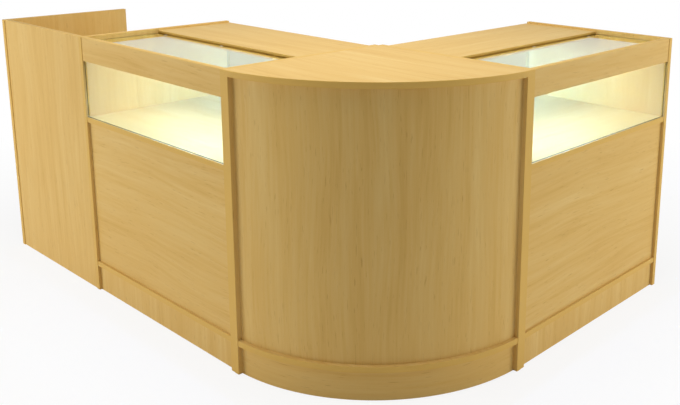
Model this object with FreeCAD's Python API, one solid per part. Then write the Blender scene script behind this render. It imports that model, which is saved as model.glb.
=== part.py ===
import FreeCAD, Part
import math
import os

V = FreeCAD.Vector
X_AXIS = V(1, 0, 0)
Y_AXIS = V(0, 1, 0)
Z_AXIS = V(0, 0, 1)

# Overall sizes of the four units, in millimetres
counter_height = 900.0
display_width = 820.0
display_depth = 591.0
till_width = 600.0
till_depth = 500.0

# Faced board that everything is cut from
board = 18.0
arris = 0.8
overrun = 5.0

# How far the fronts stand back from the front edges of the display end panels
board_edge_setback = 1.5
fascia_setback = 2.0
front_setback = 10.0

# Levels
plinth_height = 90.0
fascia_height = 80.0
window_height = 192.0
worktop_drop = 6.0
worktop_depth = 303.0
till_well_depth = 160.0

# Corner unit: its posts stand proud of the displays and its front bows out between them
post_proud = 1.0
corner_bow = 155.5
corner_base_setback = 1.5
corner_recess = 14.0
bent_panel = 9.0

# Till unit
till_panel_proud = 3.0

# Rear plinths under the displays
rear_plinth_inset = 60.0

# Window pane, held in a groove above and below
pane = 5.0
pane_play = 0.5
pane_sill = 6.0
pane_top_groove = 10.0
pane_floor_groove = 5.0
glass_arris = 0.5

# Top pane on pads, carried by a rail at the front and a batten at the back
top_pane = 6.0
top_pane_play = 2.0
rail_width = 20.0
rail_height = 18.0
batten_height = 6.0
rail_reach = 16.0
pad_height = 3.0
pad_size = 10.0
pad_end_inset = 60.0

# Sliding glass doors at the back of the display, in twin tracks
door_glass = 6.0
door_play = 0.5
door_run_play = 0.4
door_lift = 8.0
door_overlap = 30.0
track_wall = 1.5
track_base = 1.5
lower_track_height = 8.0
upper_track_height = 16.0
track_back_inset = 8.0
pull_radius = 12.5
pull_play = 0.2
pull_wall = 2.0
pull_floor = 1.0
pull_flange_radius = 15.5
pull_flange = 1.2
pull_edge_inset = 45.0
pull_height = 60.0

# Storage shelves: loose on pegs in the displays, fixed in the till unit
shelf_level = 340.0
shelf_play = 1.0
shelf_front_gap = 6.0
shelf_back_inset = 80.0
peg_radius = 2.5
peg_play = 0.1
peg_depth = 8.0
peg_reach = 9.0
peg_drop = 3.0
peg_tab_width = 9.0
peg_tab_height = 6.0
peg_inset = 60.0
till_shelf_back_inset = 40.0

# Lamp under the front glass rail, near the corner
lamp_length = 312.0
lamp_end_gap = 24.0
lamp_width = 16.0
lamp_height = 14.0
lamp_wall = 1.2
diffuser_tongue = 3.0
diffuser_drop = 2.0
lamp_cap_length = 4.0
clip_wall = 1.2
clip_length = 14.0
clip_grip = 9.0
clip_inset = 50.0

# Switch at the lamp's far end
switch_box_length = 34.0
switch_pocket_length = 16.4
switch_pocket_height = 9.0
switch_pocket_depth = 7.0
switch_pivot_depth = 3.0
rocker_length = 14.4
rocker_height = 8.2
rocker_dish = 3.0
rocker_rise = 4.0
rocker_foot = 0.4
rocker_keel = 2.2
rocker_tilt = 8.0
trunnion_radius = 1.2
trunnion_play = 0.3
trunnion_reach = 1.2
inlet_length = 9.0
inlet_height = 6.0
inlet_depth = 3.5

# Levels worked out from the sizes above
base_top = plinth_height + board
fascia_bottom = counter_height - fascia_height
floor_top = fascia_bottom - window_height
floor_bottom = floor_top - board
worktop_top = counter_height - worktop_drop
worktop_bottom = worktop_top - board
rail_bottom = worktop_bottom - rail_height
till_top = counter_height - till_well_depth

# Plan of the left display: its corner end is at x = 0, its front edges are at y = 0
left_end = -display_width
clear_start = left_end + board
clear_end = -board
worktop_front = display_depth - worktop_depth
fascia_back = fascia_setback + board
front_back = front_setback + board

# Plan of the corner unit, whose back is flush with the displays, and of the till unit
corner_reach = display_depth
corner_size = corner_reach + post_proud
till_start = left_end - till_width
till_front = fascia_setback - till_panel_proud
till_back = till_front + till_depth

# The part's origin is at the bottom centre of the whole counter
centre_x = (till_start + corner_size) / 2
centre_y = (corner_reach + display_width - post_proud) / 2


def save(name, shape):
    placed = shape.copy()
    placed.translate(V(-centre_x, -centre_y, 0))
    placed.exportStep("parts/" + name + ".step")


def to_right(shape):
    """The right display mirrors the left one across the corner's diagonal."""
    on_diagonal = V(corner_reach / 2, corner_reach / 2, 0)
    return shape.mirror(on_diagonal, X_AXIS + Y_AXIS)


def save_pair(name, shape):
    save("left_" + name, shape)
    save("right_" + name, to_right(shape))


def block(x_range, y_range, z_range):
    low = V(x_range[0], y_range[0], z_range[0])
    high = V(x_range[1], y_range[1], z_range[1])
    size = high - low
    return Part.makeBox(size.x, size.y, size.z, low)


def eased(shape, ease=arris):
    return shape.makeChamfer(ease, shape.Edges)


def panel(x_range, y_range, z_range):
    return eased(block(x_range, y_range, z_range))


def rod(radius, start, axis, length):
    return Part.makeCylinder(radius, length, start, axis)


def extruded(points, along):
    outline = Part.makePolygon(points + points[:1])
    return Part.Face(outline).extrude(along)


# Peg places, the same in both end panels of a display
peg_ys = (front_back + peg_inset, display_depth - shelf_back_inset - peg_inset)


def peg_holes(face_x, into):
    radius = peg_radius + peg_play
    peg_z = shelf_level - peg_drop
    return [rod(radius, V(face_x, y, peg_z), into, peg_depth) for y in peg_ys]


def display_end_panel(x_range, face_x, into):
    body = panel(x_range, (0, display_depth), (0, counter_height))
    return body.cut(peg_holes(face_x, into))


def pane_groove(z_range):
    x_range = (clear_start - overrun, clear_end + overrun)
    return block(x_range, (pane_sill, pane_sill + pane + 2 * pane_play), z_range)


def fascia():
    body = panel((clear_start, clear_end), (fascia_setback, fascia_back), (fascia_bottom, counter_height))
    return body.cut(pane_groove((fascia_bottom - overrun, fascia_bottom + pane_top_groove)))


def window_glass():
    low_y = pane_sill + pane_play
    low_z = floor_top - pane_floor_groove
    high_z = fascia_bottom + pane_top_groove - pane_play
    pane_x = (clear_start + pane_play, clear_end - pane_play)
    return eased(block(pane_x, (low_y, low_y + pane), (low_z, high_z)), glass_arris)


def display_floor():
    y_range = (board_edge_setback, display_depth)
    body = panel((clear_start, clear_end), y_range, (floor_bottom, floor_top))
    return body.cut(pane_groove((floor_top - pane_floor_groove, floor_top + overrun)))


def glass_rails():
    x_range = (clear_start, clear_end)
    z_range = (rail_bottom, worktop_bottom)
    front = block(x_range, (fascia_back, fascia_back + rail_width), z_range)
    back_start = worktop_front - rail_reach
    batten_z = (worktop_bottom - batten_height, worktop_bottom)
    back = block(x_range, (back_start, back_start + 2 * rail_width), batten_z)
    return Part.makeCompound([front, back])


def glass_pads():
    half = pad_size / 2
    pad_ys = (fascia_back + rail_width / 2, worktop_front - rail_reach / 2)
    pad_xs = (clear_start + pad_end_inset, (clear_start + clear_end) / 2, clear_end - pad_end_inset)
    z_range = (worktop_bottom, worktop_bottom + pad_height)
    return [block((x - half, x + half), (y - half, y + half), z_range) for x in pad_xs for y in pad_ys]


def top_glass():
    x_range = (clear_start + top_pane_play, clear_end - top_pane_play)
    y_range = (fascia_back + top_pane_play, worktop_front - top_pane_play)
    low_z = worktop_bottom + pad_height
    return eased(block(x_range, y_range, (low_z, low_z + top_pane)), glass_arris)


# Sliding door tracks: an E-shaped strip with two channels
track_channel = door_glass + 2 * door_play
track_width = 3 * track_wall + 2 * track_channel
track_front = display_depth - track_back_inset - track_width
door_bottom = floor_top + track_base + door_run_play
door_top = worktop_bottom - track_base - door_lift
door_width = (clear_end - clear_start + door_overlap) / 2


def track(base_z, height, base):
    """The channels open upwards where height is positive and downwards where it is negative."""
    back = track_front + track_width
    mid_front = track_front + track_wall + track_channel
    mid_back = mid_front + track_wall
    lip_z = base_z + height
    floor_z = base_z + base
    profile = [
        (track_front, base_z),
        (back, base_z),
        (back, lip_z),
        (back - track_wall, lip_z),
        (back - track_wall, floor_z),
        (mid_back, floor_z),
        (mid_back, lip_z),
        (mid_front, lip_z),
        (mid_front, floor_z),
        (track_front + track_wall, floor_z),
        (track_front + track_wall, lip_z),
        (track_front, lip_z),
    ]
    points = [V(clear_start, y, z) for y, z in profile]
    return extruded(points, X_AXIS * (clear_end - clear_start))


def door_tracks():
    lower = track(floor_top, lower_track_height, track_base)
    upper = track(worktop_bottom, -upper_track_height, -track_base)
    return Part.makeCompound([lower, upper])


def door(start_x, front_y, pull_x):
    z_range = (door_bottom, door_top)
    body = block((start_x, start_x + door_width), (front_y, front_y + door_glass), z_range)
    pull_z = door_bottom + pull_height
    hole = rod(pull_radius, V(pull_x, front_y - overrun, pull_z), Y_AXIS, door_glass + 2 * overrun)
    return eased(body, glass_arris).cut(hole)


def door_pull(front_y, pull_x):
    """A turned finger cup with its flange on the staff side of the glass."""
    cup = pull_radius - pull_play
    back_y = front_y + door_glass
    profile = [
        (0, front_y),
        (cup, front_y),
        (cup, back_y),
        (pull_flange_radius, back_y),
        (cup - pull_wall, back_y + pull_flange),
        (cup - pull_wall, front_y + pull_floor),
        (0, front_y + pull_floor),
    ]
    pull_z = door_bottom + pull_height
    points = [V(pull_x + r, y, pull_z) for r, y in profile]
    face = Part.Face(Part.makePolygon(points + points[:1]))
    return face.revolve(V(pull_x, front_y, pull_z), Y_AXIS, 360)


def display_doors():
    front_channel = track_front + track_wall + door_play
    back_channel = front_channel + track_channel + track_wall
    outer_x = clear_start + door_play
    inner_x = clear_end - door_play - door_width
    outer_pull_x = outer_x + pull_edge_inset
    inner_pull_x = inner_x + door_width - pull_edge_inset
    save_pair("outer_door", door(outer_x, back_channel, outer_pull_x))
    save_pair("inner_door", door(inner_x, front_channel, inner_pull_x))
    save_pair("outer_door_pull", door_pull(back_channel, outer_pull_x))
    save_pair("inner_door_pull", door_pull(front_channel, inner_pull_x))


def shelf(x_range, y_range, play):
    inside = (x_range[0] + play, x_range[1] - play)
    return panel(inside, y_range, (shelf_level, shelf_level + board))


def pegs():
    """A peg in each end panel, with a flat tab that the shelf lies on."""
    made = []
    for face_x, side in ((clear_start, 1), (clear_end, -1)):
        for y in peg_ys:
            start = V(face_x - side * peg_depth, y, shelf_level - peg_drop)
            stem = rod(peg_radius, start, X_AXIS * side, peg_depth)
            tab_x = sorted((face_x, face_x + side * peg_reach))
            tab_y = (y - peg_tab_width / 2, y + peg_tab_width / 2)
            tab = block(tab_x, tab_y, (shelf_level - peg_tab_height, shelf_level))
            made.append(stem.fuse(tab))
    return made


# Lamp places: it hangs in clips under the front rail, close to the corner end
lamp_end = clear_end - lamp_end_gap
lamp_start = lamp_end - lamp_length
lamp_front = fascia_back + (rail_width - lamp_width) / 2
lamp_back = lamp_front + lamp_width
lamp_top = rail_bottom - clip_wall
lamp_bottom = lamp_top - lamp_height
lamp_tube_end = lamp_end - lamp_cap_length
lamp_tube_start = lamp_start + switch_box_length


def lamp_housing():
    tube = (lamp_tube_start, lamp_tube_end)
    outside = block(tube, (lamp_front, lamp_back), (lamp_bottom, lamp_top))
    hollow_y = (lamp_front + lamp_wall, lamp_back - lamp_wall)
    hollow_x = (tube[0] - overrun, tube[1] + overrun)
    return outside.cut(block(hollow_x, hollow_y, (lamp_bottom - overrun, lamp_top - lamp_wall)))


def lamp_diffuser():
    """A half-round opal strip whose tongue sits between the housing walls."""
    half = lamp_width / 2 - lamp_wall
    middle = lamp_front + lamp_width / 2
    crown_z = lamp_bottom - diffuser_drop - half
    side_z = lamp_bottom - diffuser_drop
    top_z = lamp_bottom + diffuser_tongue
    left_side = V(lamp_tube_start, middle - half, side_z)
    right_side = V(lamp_tube_start, middle + half, side_z)
    crown = V(lamp_tube_start, middle, crown_z)
    top_left = V(lamp_tube_start, middle - half, top_z)
    top_right = V(lamp_tube_start, middle + half, top_z)
    round_under = Part.Arc(left_side, crown, right_side).toShape()
    straight = Part.makePolygon([right_side, top_right, top_left, left_side])
    outline = Part.Wire([round_under] + straight.Edges)
    return Part.Face(outline).extrude(X_AXIS * (lamp_tube_end - lamp_tube_start))


def lamp_cap():
    """A plug of the housing's outline over the half-round of the diffuser."""
    middle = lamp_front + lamp_width / 2
    half = lamp_width / 2
    side_z = lamp_bottom - diffuser_drop
    left_side = V(lamp_tube_end, lamp_front, side_z)
    right_side = V(lamp_tube_end, lamp_back, side_z)
    crown = V(lamp_tube_end, middle, side_z - half)
    top_left = V(lamp_tube_end, lamp_front, lamp_top)
    top_right = V(lamp_tube_end, lamp_back, lamp_top)
    round_under = Part.Arc(left_side, crown, right_side).toShape()
    straight = Part.makePolygon([right_side, top_right, top_left, left_side])
    outline = Part.Wire([round_under] + straight.Edges)
    return Part.Face(outline).extrude(X_AXIS * lamp_cap_length)


def lamp_clips():
    """Spring clips screwed under the rail, each hugging the housing's sides."""
    made = []
    for middle_x in (lamp_tube_start + clip_inset, lamp_tube_end - clip_inset):
        x_range = (middle_x - clip_length / 2, middle_x + clip_length / 2)
        outside_y = (lamp_front - clip_wall, lamp_back + clip_wall)
        outside = block(x_range, outside_y, (lamp_top - clip_grip, rail_bottom))
        gap_x = (x_range[0] - overrun, x_range[1] + overrun)
        gap = block(gap_x, (lamp_front, lamp_back), (lamp_top - clip_grip - overrun, lamp_top))
        made.append(outside.cut(gap))
    return made


# Switch pivot: upright, in the middle of the pocket in the box's staff side
pivot = V(
    lamp_start + switch_box_length / 2,
    lamp_back - switch_pivot_depth,
    lamp_top - lamp_height / 2,
)


def lamp_switch_box():
    body = block((lamp_start, lamp_tube_start), (lamp_front, lamp_back), (lamp_bottom, lamp_top))
    half_length = switch_pocket_length / 2
    half_height = switch_pocket_height / 2
    pocket = block(
        (pivot.x - half_length, pivot.x + half_length),
        (lamp_back - switch_pocket_depth, lamp_back + overrun),
        (pivot.z - half_height, pivot.z + half_height),
    )
    sleeve = half_height + trunnion_reach + trunnion_play
    pivot_hole = rod(trunnion_radius + trunnion_play, pivot - Z_AXIS * sleeve, Z_AXIS, 2 * sleeve)
    middle_y = (lamp_front + lamp_back) / 2
    inlet = block(
        (lamp_start - overrun, lamp_start + inlet_depth),
        (middle_y - inlet_length / 2, middle_y + inlet_length / 2),
        (pivot.z - inlet_height / 2, pivot.z + inlet_height / 2),
    )
    return body.cut([pocket, pivot_hole, inlet])


def lamp_rocker():
    """A rocker dished in the middle, resting with one end pressed in."""
    half = rocker_length / 2
    low_z = pivot.z - rocker_height / 2
    profile = [
        (-half, rocker_foot),
        (0, -rocker_keel),
        (half, rocker_foot),
        (half, rocker_rise),
        (0, rocker_dish),
        (-half, rocker_rise),
    ]
    points = [V(pivot.x + x, pivot.y + y, low_z) for x, y in profile]
    body = extruded(points, Z_AXIS * rocker_height)
    stub = rocker_height / 2 + trunnion_reach
    trunnion = rod(trunnion_radius, pivot - Z_AXIS * stub, Z_AXIS, 2 * stub)
    rocker = body.fuse(trunnion)
    rocker.rotate(pivot, Z_AXIS, rocker_tilt)
    return rocker


# Corner curve: an arc between the posts' inner front corners, bowed out by corner_bow
arc_start = V(board, -post_proud, 0)
arc_end = V(corner_size, corner_reach - board, 0)
half_chord = (arc_end - arc_start).Length / 2
corner_radius = (half_chord ** 2 + corner_bow ** 2) / (2 * corner_bow)
chord_middle = (arc_start + arc_end) / 2
outward = V(1, -1, 0).normalize()
arc_middle = chord_middle + outward * corner_bow
arc_centre = arc_middle - outward * corner_radius


def corner_disc(setback, z_range):
    """A disc about the corner curve's centre, cut to the room between the end panels."""
    low, high = z_range
    disc = Part.makeCylinder(corner_radius - setback, high - low, arc_centre + Z_AXIS * low)
    room = block((board, corner_size), (-post_proud, corner_reach - board), z_range)
    return disc.common(room)


def corner_bent(z_range):
    return corner_disc(corner_recess, z_range).cut(corner_disc(corner_recess + bent_panel, z_range))


def corner_top():
    level = Z_AXIS * (counter_height - board)
    curve = Part.Arc(arc_start + level, arc_middle + level, arc_end + level).toShape()
    square = [
        arc_end,
        V(corner_size, corner_reach, 0),
        V(0, corner_reach, 0),
        V(0, -post_proud, 0),
        arc_start,
    ]
    sides = Part.makePolygon([point + level for point in square])
    outline = Part.Wire([curve] + sides.Edges)
    return eased(Part.Face(outline).extrude(Z_AXIS * board))


def build_displays():
    clear_x = (clear_start, clear_end)
    save_pair("outer_end_panel", display_end_panel((left_end, clear_start), clear_start, -X_AXIS))
    save_pair("inner_end_panel", display_end_panel((clear_end, 0), clear_end, X_AXIS))
    save_pair("fascia", fascia())
    save_pair("window_glass", window_glass())
    save_pair("top_glass", top_glass())
    save_pair("glass_rails", glass_rails())
    save_pair("display_floor", display_floor())
    save_pair("worktop", panel(clear_x, (worktop_front, display_depth), (worktop_bottom, worktop_top)))
    save_pair("lower_front_panel", block(clear_x, (front_setback, front_back), (base_top, floor_bottom)))
    save_pair("base_board", panel(clear_x, (board_edge_setback, display_depth), (plinth_height, base_top)))
    save_pair("front_plinth", block(clear_x, (front_setback, front_back), (0, plinth_height)))
    rear_plinth_y = display_depth - rear_plinth_inset
    save_pair("rear_plinth", block(clear_x, (rear_plinth_y - board, rear_plinth_y), (0, plinth_height)))
    shelf_y = (front_back + shelf_front_gap, display_depth - shelf_back_inset)
    save_pair("storage_shelf", shelf(clear_x, shelf_y, shelf_play))
    save_pair("door_tracks", door_tracks())
    display_doors()
    save_pair("lamp_housing", lamp_housing())
    save_pair("lamp_diffuser", lamp_diffuser())
    save_pair("lamp_switch_box", lamp_switch_box())
    save_pair("lamp_rocker", lamp_rocker())


def build_corner():
    """The left end panel runs to the back corner and the right one butts against it."""
    under_top = (0, counter_height - board)
    save("corner_left_end_panel", panel((0, board), (-post_proud, corner_reach), under_top))
    right_y = (corner_reach - board, corner_reach)
    save("corner_right_end_panel", panel((board, corner_size), right_y, under_top))
    save("corner_top", corner_top())
    save("corner_front", corner_bent((base_top, counter_height - board)))
    save("corner_base_board", corner_disc(corner_base_setback, (plinth_height, base_top)))
    save("corner_plinth", corner_bent((0, plinth_height)))


def build_till():
    """The front and the worktop lap over the right end panel; the left one stands full height."""
    lapped_x = (till_start + board, left_end)
    inside_x = (till_start + board, left_end - board)
    behind_front = (fascia_back, till_back)
    under_top = (0, till_top - board)
    left_x = (till_start, till_start + board)
    save("till_left_end_panel", panel(left_x, (till_front, till_back), (0, counter_height)))
    save("till_right_end_panel", block((left_end - board, left_end), behind_front, under_top))
    save("till_front_panel", panel(lapped_x, (fascia_setback, fascia_back), (0, counter_height)))
    save("till_worktop", panel(lapped_x, behind_front, (till_top - board, till_top)))
    shelf_y = (fascia_back + shelf_front_gap, till_back - till_shelf_back_inset)
    save("till_shelf", shelf(inside_x, shelf_y, 0))


def build_groups():
    """Small repeated pieces: one node for each kind."""
    groups = {
        "glass_pads": glass_pads(),
        "lamp_end_caps": [lamp_cap()],
        "lamp_clips": lamp_clips(),
        "shelf_pegs": pegs(),
    }
    for name, pieces in groups.items():
        save(name, Part.makeCompound(pieces + [to_right(piece) for piece in pieces]))


os.makedirs("parts", exist_ok=True)
build_displays()
build_corner()
build_till()
build_groups()
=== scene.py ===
import math

import bpy
from mathutils import Matrix, Vector


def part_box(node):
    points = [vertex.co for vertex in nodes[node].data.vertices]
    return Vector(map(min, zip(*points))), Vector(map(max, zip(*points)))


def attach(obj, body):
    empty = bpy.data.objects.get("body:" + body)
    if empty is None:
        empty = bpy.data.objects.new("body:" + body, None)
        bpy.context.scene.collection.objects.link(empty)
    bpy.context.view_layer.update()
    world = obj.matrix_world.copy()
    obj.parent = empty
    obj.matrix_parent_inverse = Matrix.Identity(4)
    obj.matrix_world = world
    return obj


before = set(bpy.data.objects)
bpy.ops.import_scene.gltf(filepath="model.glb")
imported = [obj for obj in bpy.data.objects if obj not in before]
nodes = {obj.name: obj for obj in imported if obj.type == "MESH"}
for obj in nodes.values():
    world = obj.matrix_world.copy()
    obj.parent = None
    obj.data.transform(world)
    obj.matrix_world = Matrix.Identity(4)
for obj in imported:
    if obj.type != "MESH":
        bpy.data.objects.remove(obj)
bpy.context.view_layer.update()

MM = 0.001
X, Y, Z = 0, 1, 2
DOWN = Vector((0, 0, -1))
# The way from the customer to the staff, for each run of the counter.
TO_STAFF = {"left": Vector((0, 1, 0)), "right": Vector((-1, 0, 0))}


# Colours and shader nodes


def linear(hex_colour):
    """An sRGB hex colour as linear red, green, blue and alpha."""
    shares = [int(hex_colour[i:i + 2], 16) / 255 for i in (1, 3, 5)]
    return [s / 12.92 if s <= 0.04045 else ((s + 0.055) / 1.055) ** 2.4 for s in shares] + [1.0]


def add(tree, kind, settings=None, **sockets):
    """Adds one shader node, with its settings and with its sockets set or linked. A colour ramp's stops,
    pairs of a position and a hex colour, are one of its settings."""
    node = tree.nodes.new("ShaderNode" + kind)
    settings = dict(settings or {})
    stops = settings.pop("stops", ())
    for name, value in settings.items():
        setattr(node, name, value)
    while stops and len(node.color_ramp.elements) < len(stops):
        node.color_ramp.elements.new(1.0)
    for number, (position, colour) in enumerate(stops):
        mark = node.color_ramp.elements[number]
        mark.position = position
        mark.color = linear(colour)
    for name, value in sockets.items():
        key = int(name[1:]) if name[1:].isdigit() else name.replace("_", " ")
        if isinstance(value, bpy.types.NodeSocket):
            tree.links.new(value, node.inputs[key])
        else:
            node.inputs[key].default_value = value
    return node


def finish_of(name):
    """A new material: its node tree and its Principled shader."""
    material = bpy.data.materials.new(name)
    material.use_nodes = True
    tree = material.node_tree
    tree.nodes.clear()
    shader = add(tree, "BsdfPrincipled")
    add(tree, "OutputMaterial", Surface=shader.outputs[0])
    return material, tree, shader


def drawn_out(tree, place, grain, marks, detail=2.0):
    """Noise drawn out along the grain, with marks of that width and length in mm."""
    width, length = marks
    scale = [1 / (width * MM)] * 3
    scale[grain] = 1 / (length * MM)
    stretched = add(tree, "Mapping", Vector=place, Scale=scale)
    return add(tree, "TexNoise", Vector=stretched.outputs[0], Scale=1.0, Detail=detail)


FACE_COSINE = 0.8


def across(tree, thick):
    """1 on the two faces of a board or pane, 0 on its edges."""
    parts = add(tree, "SeparateXYZ", Vector=add(tree, "NewGeometry").outputs["Normal"])
    size = add(tree, "Math", {"operation": "ABSOLUTE"}, _0=parts.outputs[thick])
    return add(tree, "Math", {"operation": "GREATER_THAN"}, _0=size.outputs[0], _1=FACE_COSINE).outputs[0]


def clouded(tree, shader, patch, detail, tones, roughs):
    """Cloudy patches of that width, from one tone and roughness to another. Returns the coordinates."""
    place = add(tree, "TexCoord").outputs["Object"]
    cloud = add(tree, "TexNoise", Vector=place, Scale=1 / patch, Detail=detail).outputs["Fac"]
    tone = add(tree, "ValToRGB", {"stops": tones}, Fac=cloud)
    rough = add(tree, "MapRange", Value=cloud, To_Min=roughs[0], To_Max=roughs[1])
    tree.links.new(tone.outputs[0], shader.inputs["Base Color"])
    tree.links.new(rough.outputs[0], shader.inputs["Roughness"])
    return place


# Melamine-faced chipboard with a printed pale beech paper under clear resin. The print gives soft
# streaks 5 to 15 mm wide and short darker pores along the grain. The resin was pressed against a
# pearl-finished plate, which gives a satin sheen with a fine grit.
BEECH = ((0.30, "#D0A75B"), (0.46, "#D8B268"), (0.58, "#DBB871"), (0.72, "#E0C17D"))
# The second set of tones is painted light, a paler copy of the print that stands in for the lamp's light
# washing over the display floors.
BEECH_PAINTED_LAMP_WASH = ((0.30, "#D3B97C"), (0.46, "#D7C087"), (0.58, "#DAC58F"), (0.72, "#DECC9A"))
EDGE_BAND = "#D8B05E"
# Marks of the print, each with its width and length in mm, and the share that each has in its tone.
BANDS, STREAKS, LINES = (48, 900), (13, 380), (5, 150)
BAND_SHARE, STREAK_SHARE, LINE_SHARE = 0.4, 0.38, 0.22
# The marks wander sideways over half a metre. Noise keeps mostly to its middle half, so by 12 mm.
DRIFT, DRIFT_REACH = (160, 520), 25 * MM
# Heartwood patches, a hand wide, turn the print a little redder.
HEART, HEART_TONE, HEART_SHARE = (95, 620), "#CFA455", 0.22
HEART_START, HEART_FULL = 0.5, 0.72
# Pores are 0.3 mm wide in the print, drawn 3 mm wide so that they show.
PORES, PORE_TONE, PORE_SHARE = (3, 46), "#AE7F3E", 0.4
PORE_START, PORE_FULL = 0.67, 0.75
GRIT, GRIT_HEIGHT, GRIT_STRENGTH = 0.9 * MM, 0.2 * MM, 0.06
SATIN_SMOOTH, SATIN_ROUGH, RESIN_SHINE = 0.36, 0.46, 0.06
# The arc of the round corner.
ARC_CENTRE, ARC_RADIUS = Vector((0.39943, -0.09943, 0.0)), 0.6074


def unrolled(tree, place):
    """Coordinates round the corner: x is the way along the arc, y the distance out from its centre."""
    from_centre = add(tree, "VectorMath", {"operation": "SUBTRACT"}, _0=place, _1=ARC_CENTRE)
    parts = add(tree, "SeparateXYZ", Vector=from_centre.outputs[0])
    turn = add(tree, "Math", {"operation": "ARCTAN2"}, _0=parts.outputs[Y], _1=parts.outputs[X])
    along = add(tree, "Math", {"operation": "MULTIPLY"}, _0=turn.outputs[0], _1=ARC_RADIUS)
    flat = add(tree, "CombineXYZ", X=parts.outputs[X], Y=parts.outputs[Y])
    out = add(tree, "VectorMath", {"operation": "LENGTH"}, _0=flat.outputs[0])
    place = add(tree, "CombineXYZ", X=along.outputs[0], Y=out.outputs["Value"], Z=parts.outputs[Z])
    return place.outputs[0]


def faced_board(name, grain, thick=None, bent=False, print_colours=BEECH):
    """Beech print along the grain axis. A board with a thick axis has banded edges, and a bent board
    follows the round corner."""
    material, tree, shader = finish_of(name)
    place = add(tree, "TexCoord").outputs["Object"]
    if bent:
        place = unrolled(tree, place)
    drift = drawn_out(tree, place, grain, DRIFT, 1.0)
    drift = add(tree, "VectorMath", {"operation": "MULTIPLY_ADD"}, _0=drift.outputs["Color"],
                _1=[2 * DRIFT_REACH] * 3, _2=[-DRIFT_REACH] * 3)
    place = add(tree, "VectorMath", {"operation": "ADD"}, _0=place, _1=drift.outputs[0]).outputs[0]
    bands, streaks, lines = [drawn_out(tree, place, grain, marks).outputs["Fac"]
                             for marks in (BANDS, STREAKS, LINES)]
    mixed = 0.0
    for marks, share in ((bands, BAND_SHARE), (streaks, STREAK_SHARE), (lines, LINE_SHARE)):
        mixed = add(tree, "Math", {"operation": "MULTIPLY_ADD"}, _0=marks, _1=share, _2=mixed).outputs[0]
    colour = add(tree, "ValToRGB", {"stops": print_colours}, Fac=mixed).outputs[0]
    for marks, tone, share, start, full in ((HEART, HEART_TONE, HEART_SHARE, HEART_START, HEART_FULL),
                                            (PORES, PORE_TONE, PORE_SHARE, PORE_START, PORE_FULL)):
        spots = drawn_out(tree, place, grain, marks, 1.0)
        stain = add(tree, "MapRange", Value=spots.outputs["Fac"], From_Min=start, From_Max=full,
                    To_Max=share)
        colour = add(tree, "Mix", {"data_type": "RGBA"}, _0=stain.outputs[0], _6=colour,
                     _7=linear(tone)).outputs[2]
    if thick is not None:
        colour = add(tree, "Mix", {"data_type": "RGBA"}, _0=across(tree, thick), _6=linear(EDGE_BAND),
                     _7=colour).outputs[2]
    grit = add(tree, "TexNoise", Vector=place, Scale=1 / GRIT, Detail=1.0)
    sheen = add(tree, "MapRange", Value=lines, To_Min=SATIN_SMOOTH, To_Max=SATIN_ROUGH)
    relief = add(tree, "Bump", Strength=GRIT_STRENGTH, Distance=GRIT_HEIGHT, Height=grit.outputs["Fac"])
    tree.links.new(colour, shader.inputs["Base Color"])
    tree.links.new(sheen.outputs[0], shader.inputs["Roughness"])
    tree.links.new(relief.outputs[0], shader.inputs["Normal"])
    shader.inputs["Specular IOR Level"].default_value = RESIN_SHINE
    return material


board = {}
for grain in (X, Y, Z):
    for thick in (X, Y, Z):
        if grain != thick:
            name = f"melamine_faced_board_grain_{'xyz'[grain]}_faces_{'xyz'[thick]}"
            board[grain, thick] = faced_board(name, grain, thick)
# The display floors get a paler copy of the print: painted light, standing in for the lamp's wash on them.
board_painted_lamp_wash = {}
for run in (X, Y):
    name = f"pale_melamine_faced_board_grain_{'xyz'[run]}"
    board_painted_lamp_wash[run] = faced_board(name, run, Z, print_colours=BEECH_PAINTED_LAMP_WASH)
bent_front_board = faced_board("melamine_faced_bent_board_upright", Z, bent=True)
bent_plinth_board = faced_board("melamine_faced_bent_board_level", X, bent=True)


# Float glass with ground edges. Its faces are clear. Its edges look deep green, because light comes out
# of them only after a long way through the glass, and matt from the grinding.
PANE_TINT, DOOR_TINT, GLASS_EDGE = "#EFF4E2", "#DDE0C6", "#141C0C"
GROUND_ROUGHNESS, GLASS_IOR = 0.8, 1.5


def float_glass(name, thick, face_tint):
    """Clear glass in the pane's faces, and the ground finish on its edges."""
    material, tree, shader = finish_of(name)
    face = across(tree, thick)
    tint = add(tree, "Mix", {"data_type": "RGBA"}, _0=face, _6=linear(GLASS_EDGE), _7=linear(face_tint))
    ground = add(tree, "MapRange", Value=face, To_Min=GROUND_ROUGHNESS, To_Max=0.0)
    tree.links.new(tint.outputs[2], shader.inputs["Base Color"])
    tree.links.new(ground.outputs[0], shader.inputs["Roughness"])
    tree.links.new(face, shader.inputs["Transmission Weight"])
    shader.inputs["IOR"].default_value = GLASS_IOR
    return material


glass = {thick: float_glass(f"float_glass_faces_{'xyz'[thick]}", thick, PANE_TINT)
         for thick in (X, Y, Z)}
door_glass = {thick: float_glass(f"toughened_glass_faces_{'xyz'[thick]}", thick, DOOR_TINT)
              for thick in (X, Y)}


# Cloudy finishes pass from their deep tone to their light one around the middle of the noise.
DEEP_END, LIGHT_END = 0.35, 0.65
MOULD_CLOUD, MOULD_SPREAD = 12 * MM, 0.06
TEXTURE_HEIGHT, TEXTURE_STRENGTH = 0.1 * MM, 0.15
PLATING_CLOUD, PLATING_SPREAD = 5 * MM, 0.08


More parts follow.
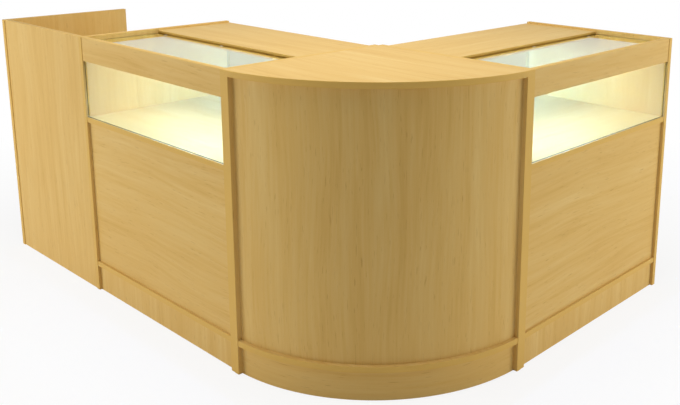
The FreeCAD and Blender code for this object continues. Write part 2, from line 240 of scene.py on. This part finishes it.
def moulded(name, colour, deep_colour, rough, texture, shine=0.5):
    """A moulded or sprayed finish, slightly cloudy, with the fine texture that the mould or spray left."""
    material, tree, shader = finish_of(name)
    place = clouded(tree, shader, MOULD_CLOUD, 3.0, ((DEEP_END, deep_colour), (LIGHT_END, colour)),
                    (rough - MOULD_SPREAD, rough + MOULD_SPREAD))
    bumps = add(tree, "TexNoise", Vector=place, Scale=1 / texture, Detail=2.0)
    relief = add(tree, "Bump", Strength=TEXTURE_STRENGTH, Distance=TEXTURE_HEIGHT,
                 Height=bumps.outputs["Fac"])
    tree.links.new(relief.outputs[0], shader.inputs["Normal"])
    shader.inputs["Specular IOR Level"].default_value = shine
    return material


# Black polycarbonate from a polished mould, glossy with slight wear.
black_rocker = moulded("black_polycarbonate", "#1D1E20", "#151618", 0.16, 0.4 * MM)
# Brown rubber, dull, pressed between glass and board. Its dark brown is partly painted shade, for the
# shaded front edge of the worktop above the pane.
brown_rubber_painted_shade = moulded("brown_epdm_rubber_painted_shade", "#B0883A", "#A27C34", 0.7, 0.6 * MM, shine=0.0)
# Grey rubber, dull, a thin dark line where the window stands on it.
grey_rubber = moulded("grey_epdm_rubber", "#55584E", "#484B42", 0.7, 0.6 * MM, shine=0.0)
# White stove enamel on steel, slightly uneven as sprayed enamel is.
white_enamel = moulded("white_stove_enamel", "#F1F1EC", "#E9E9E3", 0.3, 1.2 * MM)
# Natural nylon, slightly yellow and waxy.
nylon = moulded("natural_nylon", "#E3D8BF", "#D9CCB0", 0.45, 0.5 * MM)


def plated(name, colour, deep_colour, rough):
    """Plated or anodised metal, with cloudy patches where the layer is thicker or thinner."""
    material, tree, shader = finish_of(name)
    clouded(tree, shader, PLATING_CLOUD, 4.0, ((DEEP_END, deep_colour), (LIGHT_END, colour)),
            (rough - PLATING_SPREAD, rough + PLATING_SPREAD))
    shader.inputs["Metallic"].default_value = 1.0
    return material


# Nickel-plated steel for the pegs, clips and screws, soft and slightly warm.
nickel_steel = plated("nickel_plated_steel", "#D2CEC4", "#BDB8AC", 0.3)
# Satin anodised aluminium for the door tracks, a cool even grey.
anodised = plated("satin_anodised_aluminium", "#D6D8DA", "#C8CACC", 0.34)
# Bright chrome for the turned finger pulls, close to a mirror.
chrome = plated("bright_chrome", "#DFE0E1", "#D5D6D8", 0.12)


# Opal acrylic lit from inside by a cool white strip. A shield keeps its customer side dark, so the milky
# glow covers its underside and the lower part of its staff side.
LAMP_COLOUR, LAMP_STRENGTH = "#78A8FF", 6200.0
OPAL_TONES, OPAL_CLOUD, OPAL_ROUGHNESS = ((0.3, "#F1F4F4"), (0.7, "#F8FAFA")), 20 * MM, 0.35
# The glow's middle looks to the staff and down in these shares, and it fades between these cosines.
GLOW_BACK_SHARE, GLOW_DOWN_SHARE = 0.8, 0.6
GLOW_START, GLOW_FULL = 0.55, 0.85
# The housing's lips let none of the light rise.
LIP_START, LIP_FULL = 0.03, -0.05
# An asymmetric reflector throws more of the light to the back than down or sideways.
DOWNWARD_SHARE, DOWNWARD_START, DOWNWARD_FULL = 0.3, -0.95, -0.3
SIDEWAYS_SHARE, SIDEWAYS_START, SIDEWAYS_FULL = 0.25, 0.1, 0.9


def opal_acrylic(name, back):
    """Milky acrylic whose light leaves it downwards and to the back."""
    material, tree, shader = finish_of(name)
    place = add(tree, "TexCoord").outputs["Object"]
    milk = add(tree, "TexNoise", Vector=place, Scale=1 / OPAL_CLOUD, Detail=2.0)
    tone = add(tree, "ValToRGB", {"stops": OPAL_TONES}, Fac=milk.outputs["Fac"])
    tree.links.new(tone.outputs[0], shader.inputs["Base Color"])
    shader.inputs["Roughness"].default_value = OPAL_ROUGHNESS
    surface = add(tree, "NewGeometry")
    aim = add(tree, "VectorMath", {"operation": "DOT_PRODUCT"}, _0=surface.outputs["Normal"],
              _1=GLOW_BACK_SHARE * back + GLOW_DOWN_SHARE * DOWN)
    bright = add(tree, "MapRange", Value=aim.outputs["Value"], From_Min=GLOW_START, From_Max=GLOW_FULL)
    leaving = add(tree, "SeparateXYZ", Vector=surface.outputs["Incoming"])
    falling = add(tree, "MapRange", Value=leaving.outputs[Z], From_Min=LIP_START, From_Max=LIP_FULL)
    thrown = add(tree, "MapRange", Value=leaving.outputs[Z], From_Min=DOWNWARD_START,
                 From_Max=DOWNWARD_FULL, To_Min=DOWNWARD_SHARE, To_Max=1.0)
    backward = add(tree, "VectorMath", {"operation": "DOT_PRODUCT"}, _0=surface.outputs["Incoming"],
                   _1=back)
    backward = add(tree, "MapRange", Value=backward.outputs["Value"], From_Min=SIDEWAYS_START,
                   From_Max=SIDEWAYS_FULL, To_Min=SIDEWAYS_SHARE, To_Max=1.0)
    lit = bright
    for share in (falling, thrown, backward):
        lit = add(tree, "Math", {"operation": "MULTIPLY"}, _0=lit.outputs[0], _1=share.outputs[0])
    glow = add(tree, "Mix", {"data_type": "RGBA"}, _0=lit.outputs[0], _6=(0.0, 0.0, 0.0, 1.0),
               _7=linear(LAMP_COLOUR))
    tree.links.new(glow.outputs[2], shader.inputs["Emission Color"])
    shader.inputs["Emission Strength"].default_value = LAMP_STRENGTH
    return material


opal = {side: opal_acrylic(f"opal_acrylic_lit_{side}", TO_STAFF[side]) for side in ("left", "right")}


# Clear silicone rubber, cloudy and slightly sticky looking.
SILICONE_TONES, SILICONE_CLOUD = ((0.3, "#E6E8E4"), (0.7, "#F2F3F0")), 3 * MM
SILICONE_ROUGHS, SILICONE_CLEARNESS, SILICONE_IOR = (0.3, 0.5), 0.7, 1.41
silicone, tree, shader = finish_of("clear_silicone_rubber")
clouded(tree, shader, SILICONE_CLOUD, 2.0, SILICONE_TONES, SILICONE_ROUGHS)
shader.inputs["Transmission Weight"].default_value = SILICONE_CLEARNESS
shader.inputs["IOR"].default_value = SILICONE_IOR


# Every CAD node gets its finish


def finish(name, material):
    """Gives a CAD node that one material."""
    slots = nodes[name].data.materials
    slots.clear()
    slots.append(material)


for side, run, depth in (("left", X, Y), ("right", Y, X)):
    for part in ("fascia", "lower_front_panel"):
        finish(f"{side}_{part}", board[run, depth])
    for part in ("front_plinth", "rear_plinth"):
        finish(f"{side}_{part}", board[Z, depth])
    finish(f"{side}_display_floor", board_painted_lamp_wash[run])
    for part in ("worktop", "base_board", "storage_shelf", "glass_rails"):
        finish(f"{side}_{part}", board[run, Z])
    for part in ("outer_end_panel", "inner_end_panel"):
        finish(f"{side}_{part}", board[Z, run])
    finish(f"corner_{side}_end_panel", board[Z, run])
    finish(f"{side}_window_glass", glass[depth])
    finish(f"{side}_top_glass", glass[Z])
    finish(f"{side}_door_tracks", anodised)
    for door in ("outer_door", "inner_door"):
        finish(f"{side}_{door}", door_glass[depth])
        finish(f"{side}_{door}_pull", chrome)
    finish(f"{side}_lamp_housing", white_enamel)
    finish(f"{side}_lamp_switch_box", white_enamel)
    finish(f"{side}_lamp_diffuser", opal[side])
    finish(f"{side}_lamp_rocker", black_rocker)
    finish(f"till_{side}_end_panel", board[Z, X])
    # Light passes the panes without shadow, as it does through clear glass.
    for pane in ("window_glass", "top_glass", "outer_door", "inner_door"):
        nodes[f"{side}_{pane}"].visible_shadow = False
for name in ("corner_top", "corner_base_board", "till_worktop", "till_shelf"):
    finish(name, board[X, Z])
finish("corner_front", bent_front_board)
finish("corner_plinth", bent_plinth_board)
finish("till_front_panel", board[Z, Y])
finish("glass_pads", silicone)
finish("lamp_end_caps", white_enamel)
finish("lamp_clips", nickel_steel)
finish("shelf_pegs", nickel_steel)


# Small fittings that the CAD leaves to this script


SAME_WAY_COSINE = 0.99
SMOOTH_ANGLE = math.radians(35)


def on_its_own(add_primitive, **sizes):
    """Adds a primitive with nothing else selected, with its place in its mesh."""
    bpy.ops.object.select_all(action="DESELECT")
    add_primitive(**sizes)
    bpy.ops.object.transform_apply(location=True, rotation=True, scale=True)
    return bpy.context.object


def pick(piece, parts, chosen):
    """Edit mode with only the chosen faces or edges selected."""
    bpy.ops.object.mode_set(mode="EDIT")
    bpy.ops.mesh.select_mode(type="FACE" if parts == "polygons" else "EDGE")
    bpy.ops.mesh.select_all(action="DESELECT")
    bpy.ops.object.mode_set(mode="OBJECT")
    for part in getattr(piece.data, parts):
        part.select = chosen(part)
    bpy.ops.object.mode_set(mode="EDIT")


def sink(piece, facing, rim, depth):
    """Insets the faces that look that way and pushes their middle in."""
    pick(piece, "polygons", lambda face: face.normal.dot(facing) > SAME_WAY_COSINE)
    bpy.ops.mesh.inset(thickness=rim)
    bpy.ops.mesh.extrude_region_move(TRANSFORM_OT_translate={"value": -depth * facing})
    bpy.ops.object.mode_set(mode="OBJECT")


def ease(piece, width):
    """Rounds the sharp edges and shades the piece smooth between them."""
    rounding = piece.modifiers.new("eased_edges", "BEVEL")
    rounding.width, rounding.segments, rounding.limit_method = width, 2, "ANGLE"
    bpy.context.view_layer.objects.active = piece
    bpy.ops.object.modifier_apply(modifier=rounding.name)
    bpy.ops.object.select_all(action="DESELECT")
    piece.select_set(True)
    bpy.ops.object.shade_smooth_by_angle(angle=SMOOTH_ANGLE)


HEAD_SIDES, SOCKET_DEPTH_SHARE, HEAD_EASE_SHARE = 24, 0.7, 0.2


def screw_head(place, facing, radius, height, socket):
    """A low round head with a sunk drive socket, standing on a face that looks that way."""
    head = on_its_own(bpy.ops.mesh.primitive_cylinder_add, vertices=HEAD_SIDES, radius=radius,
                      depth=height, location=place + facing * height / 2,
                      rotation=facing.to_track_quat("Z", "Y").to_euler())
    sink(head, facing, radius - socket, height * SOCKET_DEPTH_SHARE)
    ease(head, height * HEAD_EASE_SHARE)
    head.data.materials.append(nickel_steel)
    return head


# A fitting is modelled with its back on y = 0, so that its front looks along y.
FRONT = Vector((0, 1, 0))
BLOCK_LENGTH, BLOCK_SIDE, BLOCK_CHAMFER = 36 * MM, 14 * MM, 4.5 * MM
BLOCK_RIM, BLOCK_SINK, BLOCK_EASE = 1.2 * MM, 0.8 * MM, 0.5 * MM
SCREW_RADIUS, SCREW_HEIGHT, SCREW_SOCKET = 2.8 * MM, 1.4 * MM, 1.3 * MM
SCREW_REACH = 10 * MM
BOLT_RADIUS, BOLT_HEIGHT, BOLT_SOCKET = 7.5 * MM, 1.8 * MM, 3 * MM


def fixing_block():
    """A nylon corner block with its top on z = 0 and its lower front edge chamfered, and with two screws
    in its sunk front and one in its sunk underside."""
    half = BLOCK_SIDE / 2
    block = on_its_own(bpy.ops.mesh.primitive_cube_add, size=1.0, location=(0, half, -half),
                       scale=(BLOCK_LENGTH, BLOCK_SIDE, BLOCK_SIDE))
    corners = block.data.vertices
    pick(block, "edges", lambda edge: all(corners[v].co.y > half and corners[v].co.z < -half
                                          for v in edge.vertices))
    bpy.ops.mesh.bevel(offset=BLOCK_CHAMFER, segments=1)
    bpy.ops.object.mode_set(mode="OBJECT")
    for facing in (FRONT, DOWN):
        sink(block, facing, BLOCK_RIM, BLOCK_SINK)
    ease(block, BLOCK_EASE)
    block.data.materials.append(nylon)
    floor_of_sink = BLOCK_SIDE - BLOCK_SINK
    middle = (BLOCK_SIDE - BLOCK_CHAMFER) / 2
    screws = [screw_head(place, facing, SCREW_RADIUS, SCREW_HEIGHT, SCREW_SOCKET)
              for place, facing in ((Vector((-SCREW_REACH, floor_of_sink, -middle)), FRONT),
                                    (Vector((SCREW_REACH, floor_of_sink, -middle)), FRONT),
                                    (Vector((0, middle, -floor_of_sink)), DOWN))]
    bpy.ops.object.select_all(action="DESELECT")
    for part in screws + [block]:
        part.select_set(True)
    bpy.context.view_layer.objects.active = block
    bpy.ops.object.join()
    return block


def place_copies(model, name, placings):
    """Copies a modelled piece to each placing, every copy with its own mesh, and deletes the model."""
    for number, placing in enumerate(placings, 1):
        copy = bpy.data.objects.new(f"{name}_{number:02d}", model.data.copy())
        bpy.context.scene.collection.objects.link(copy)
        copy.data.transform(placing)
        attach(copy, "counter")
    bpy.data.objects.remove(model)


def on_wall(run, wall, depth_at, level, inward, upside_down=False):
    """A placing with the model's back on a wall across the run, its front turned to look into the bay."""
    where = [0.0, 0.0, level]
    where[run], where[1 - run] = wall, depth_at
    into = [0.0, 0.0]
    into[run] = inward
    turn = Matrix.Rotation(math.atan2(-into[0], into[1]), 4, "Z")
    flip = Matrix.Rotation(math.pi, 4, "Y") if upside_down else Matrix.Identity(4)
    return Matrix.Translation(where) @ turn @ flip


# Blocks hold the display floor from below and the base board from above, and the till's two boards from
# below. Bolts join a display to its neighbours: the till and the corner on the left, and the corner on
# the right.
DISPLAY_DEPTH_SHARES, TILL_DEPTH_SHARES = (0.16, 0.78), (0.2, 0.8)
BOLT_LEVELS = (200 * MM, 540 * MM)
block_places, bolt_places = [], []
for side, run in (("left", X), ("right", Y)):
    outer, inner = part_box(f"{side}_outer_end_panel"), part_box(f"{side}_inner_end_panel")
    display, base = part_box(f"{side}_display_floor"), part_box(f"{side}_base_board")
    front, back = display[0][1 - run], display[1][1 - run]
    walls = [(outer[1][run], 1), (inner[0][run], -1)]
    joined = walls
    if side == "right":
        front, back = back, front
        walls = [(outer[0][run], -1), (inner[1][run], 1)]
        joined = walls[1:]
    for wall, inward in walls:
        for share in DISPLAY_DEPTH_SHARES:
            depth_at = front + (back - front) * share
            block_places.append(on_wall(run, wall, depth_at, display[0].z, inward))
            block_places.append(on_wall(run, wall, depth_at, base[1].z, inward, True))
            if (wall, inward) in joined:
                bolt_places += [on_wall(run, wall, depth_at, level, inward) for level in BOLT_LEVELS]
till_walls = ((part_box("till_left_end_panel")[1].x, 1), (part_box("till_right_end_panel")[0].x, -1))
till_low, till_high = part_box("till_worktop")
for wall, inward in till_walls:
    for share in TILL_DEPTH_SHARES:
        depth_at = till_low.y + (till_high.y - till_low.y) * share
        for carried in ("till_worktop", "till_shelf"):
            block_places.append(on_wall(X, wall, depth_at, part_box(carried)[0].z, inward))
place_copies(fixing_block(), "fixing_block", block_places)
bolt = screw_head(Vector((0, 0, 0)), FRONT, BOLT_RADIUS, BOLT_HEIGHT, BOLT_SOCKET)
place_copies(bolt, "joining_bolt_head", bolt_places)


# A seal closes the gap between each top pane and its worktop, and a lower one the window's foot. The upper
# seal's darker brown is partly painted shade on the worktop's front edge.
SEAL_SLACK, SEAL_EASE_SHARE = 0.05 * MM, 0.3
TOP_SEAL_BELOW, TOP_SEAL_ABOVE = 1 * MM, 3 * MM
FOOT_SEAL = 1.6 * MM


def seal_strip(name, low, high, rubber):
    """A rubber strip between two corners, with rounded edges."""
    size = high - low
    strip = on_its_own(bpy.ops.mesh.primitive_cube_add, size=1.0, location=(low + high) / 2, scale=size)
    strip.name = name
    ease(strip, min(size) * SEAL_EASE_SHARE)
    strip.data.materials.append(rubber)
    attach(strip, "counter")


for side in ("left", "right"):
    pane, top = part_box(f"{side}_top_glass"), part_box(f"{side}_worktop")
    window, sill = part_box(f"{side}_window_glass"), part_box(f"{side}_display_floor")
    low, high = pane[0].copy(), pane[1].copy()
    low.z, high.z = pane[1].z - TOP_SEAL_BELOW, pane[1].z + TOP_SEAL_ABOVE
    foot_low, foot_high = window[0].copy(), window[1].copy()
    foot_low.z, foot_high.z = sill[1].z, sill[1].z + FOOT_SEAL
    if side == "left":
        low.y, high.y = pane[1].y + SEAL_SLACK, top[0].y - SEAL_SLACK
        foot_low.y, foot_high.y = window[0].y - FOOT_SEAL, window[0].y - SEAL_SLACK
    else:
        low.x, high.x = top[1].x + SEAL_SLACK, pane[0].x - SEAL_SLACK
        foot_low.x, foot_high.x = window[1].x + SEAL_SLACK, window[1].x + FOOT_SEAL
    seal_strip(f"{side}_top_pane_seal_painted_shade", low, high, brown_rubber_painted_shade)
    seal_strip(f"{side}_window_seal", foot_low, foot_high, grey_rubber)


# Camera, fitted to the counter's straight edges


CAMERA_PLACE = (2.35446, -2.04863, 1.34338)
CAMERA_DEGREES = (77.40866, -0.43931, 43.00651)
SENSOR_WIDTH, FOCAL_LENGTH = 36.0, 46.12692
SHIFT_SIDEWAYS, SHIFT_UP = -0.10463, -0.15526
lens_data = bpy.data.cameras.new("photo_view")
camera = bpy.data.objects.new("photo_view", lens_data)
bpy.context.scene.collection.objects.link(camera)
camera.location = CAMERA_PLACE
camera.rotation_euler = [math.radians(degrees) for degrees in CAMERA_DEGREES]
lens_data.sensor_width, lens_data.lens = SENSOR_WIDTH, FOCAL_LENGTH
lens_data.shift_x, lens_data.shift_y = SHIFT_SIDEWAYS, SHIFT_UP
bpy.context.scene.camera = camera


# Floor, world and studio lights


FLOOR_SIZE = 30.0
# The floor looks white, but for this share of the shadow on it, which ends before the floor does.
FLOOR_SHADOW = 0.15
SHADOW_NEAR, SHADOW_FAR = 1.2, 2.6
# The world lights the counter with this strength, looks white to the camera and in a mirror goes this
# share of the way to white.
AMBIENT, MIRRORED_SKY = 0.283, 0.6
WHITE = (1.0, 1.0, 1.0, 1.0)
# Each softbox has its place, its target, its width and height and its power in watts.
SOFTBOXES = {"overhead": ((0.5, -0.4, 2.6), (0.5, -0.4, 0.0), 1.6, 1.6, 37.0),
             "left_front": ((-2.5, -3.6, 1.1), (-0.2, -0.6, 0.3), 2.6, 1.4, 78.0),
             "right_back": ((3.6, 2.5, 1.1), (0.6, 0.2, 0.3), 2.6, 1.4, 70.0)}


def seen_directly(tree, mirrored=1.0):
    """1 for what the camera sees straight or through glass, and that share in a mirror."""
    path = add(tree, "LightPath")
    glossy = add(tree, "Math", {"operation": "MULTIPLY"}, _0=path.outputs["Is Glossy Ray"], _1=mirrored)
    seen = glossy.outputs[0]
    for ray in ("Is Camera Ray", "Is Transmission Ray"):
        seen = add(tree, "Math", {"operation": "MAXIMUM"}, _0=seen, _1=path.outputs[ray]).outputs[0]
    return seen


bpy.ops.object.select_all(action="DESELECT")
bpy.ops.mesh.primitive_plane_add(size=FLOOR_SIZE, location=(0.0, 0.0, 0.0))
floor = bpy.context.object
floor.name = "studio_floor"

# White paper, matt, plain and evenly lit.
paper = bpy.data.materials.new("white_paper_floor")
paper.use_nodes = True
tree = paper.node_tree
tree.nodes.clear()
matt = add(tree, "BsdfDiffuse", Color=linear("#F4F3F0"))
white = add(tree, "Emission", Color=WHITE, Strength=1.0)
reach = add(tree, "VectorMath", {"operation": "LENGTH"}, _0=add(tree, "TexCoord").outputs["Object"])
clean = add(tree, "MapRange", Value=reach.outputs["Value"], From_Min=SHADOW_NEAR, From_Max=SHADOW_FAR,
            To_Min=1 - FLOOR_SHADOW, To_Max=1.0)
share = add(tree, "Math", {"operation": "MULTIPLY"}, _0=seen_directly(tree), _1=clean.outputs[0])
both = add(tree, "MixShader", _0=share.outputs[0], _1=matt.outputs[0], _2=white.outputs[0])
add(tree, "OutputMaterial", Surface=both.outputs[0])
floor.data.materials.append(paper)

world = bpy.data.worlds.new("studio")
bpy.context.scene.world = world
world.use_nodes = True
tree = world.node_tree
tree.nodes.clear()
level = add(tree, "MapRange", Value=seen_directly(tree, MIRRORED_SKY), To_Min=AMBIENT, To_Max=1.0)
sky = add(tree, "Background", Color=WHITE, Strength=level.outputs[0])
add(tree, "OutputWorld", Surface=sky.outputs[0])

for name, (place, target, width, height, power) in SOFTBOXES.items():
    lamp = bpy.data.lights.new(name, "AREA")
    lamp.shape = "RECTANGLE"
    lamp.size, lamp.size_y, lamp.energy = width, height, power
    light = bpy.data.objects.new(name, lamp)
    bpy.context.scene.collection.objects.link(light)
    light.location = place
    light.rotation_euler = (Vector(target) - Vector(place)).to_track_quat("-Z", "Y").to_euler()

bpy.context.scene.view_settings.view_transform = "Standard"
